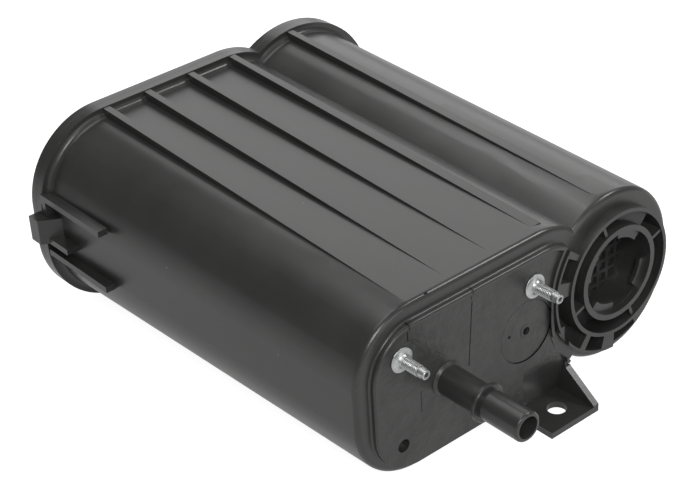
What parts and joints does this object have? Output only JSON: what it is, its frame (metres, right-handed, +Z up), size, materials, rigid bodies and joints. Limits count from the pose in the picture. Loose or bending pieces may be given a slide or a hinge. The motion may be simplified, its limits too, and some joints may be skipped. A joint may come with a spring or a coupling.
{
  "type": "charcoal canister",
  "caption": "Black moulded fuel vapour canister: wide ribbed chamber beside a round one, front panel with fixing studs, hose nipple and bayonet vent socket, welded rear cover.",
  "frame": {"origin": "midway between the two fixing studs, on the faces of their flanges, where a bracket plate seats", "axes": "+X towards the round side chamber, +Y from the front panel to the rear cover, +Z up"},
  "size_m": [0.2431, 0.3279, 0.118],
  "materials": {
    "moulding": "satin black moulded nylon",
    "zinc": "bright zinc plated steel",
    "fleece": "dark grey fleece",
    "carbon": "dull black granules",
    "plate": "dark grey moulded nylon",
    "spring_steel": "drawn spring wire"
  },
  "bodies": {
    "root": {"housing": "moulding", "rear_cover": "moulding", "mounting_studs": "zinc", "main_front_filter": "fleece", "main_carbon_bed": "carbon", "main_rear_filter": "fleece", "main_retainer_plate": "plate", "main_spring_left": "spring_steel", "main_spring_right": "spring_steel", "side_front_filter": "fleece", "side_carbon_bed": "carbon", "side_rear_filter": "fleece", "side_retainer_plate": "plate", "side_spring": "spring_steel"}
  },
  "joints": []
}
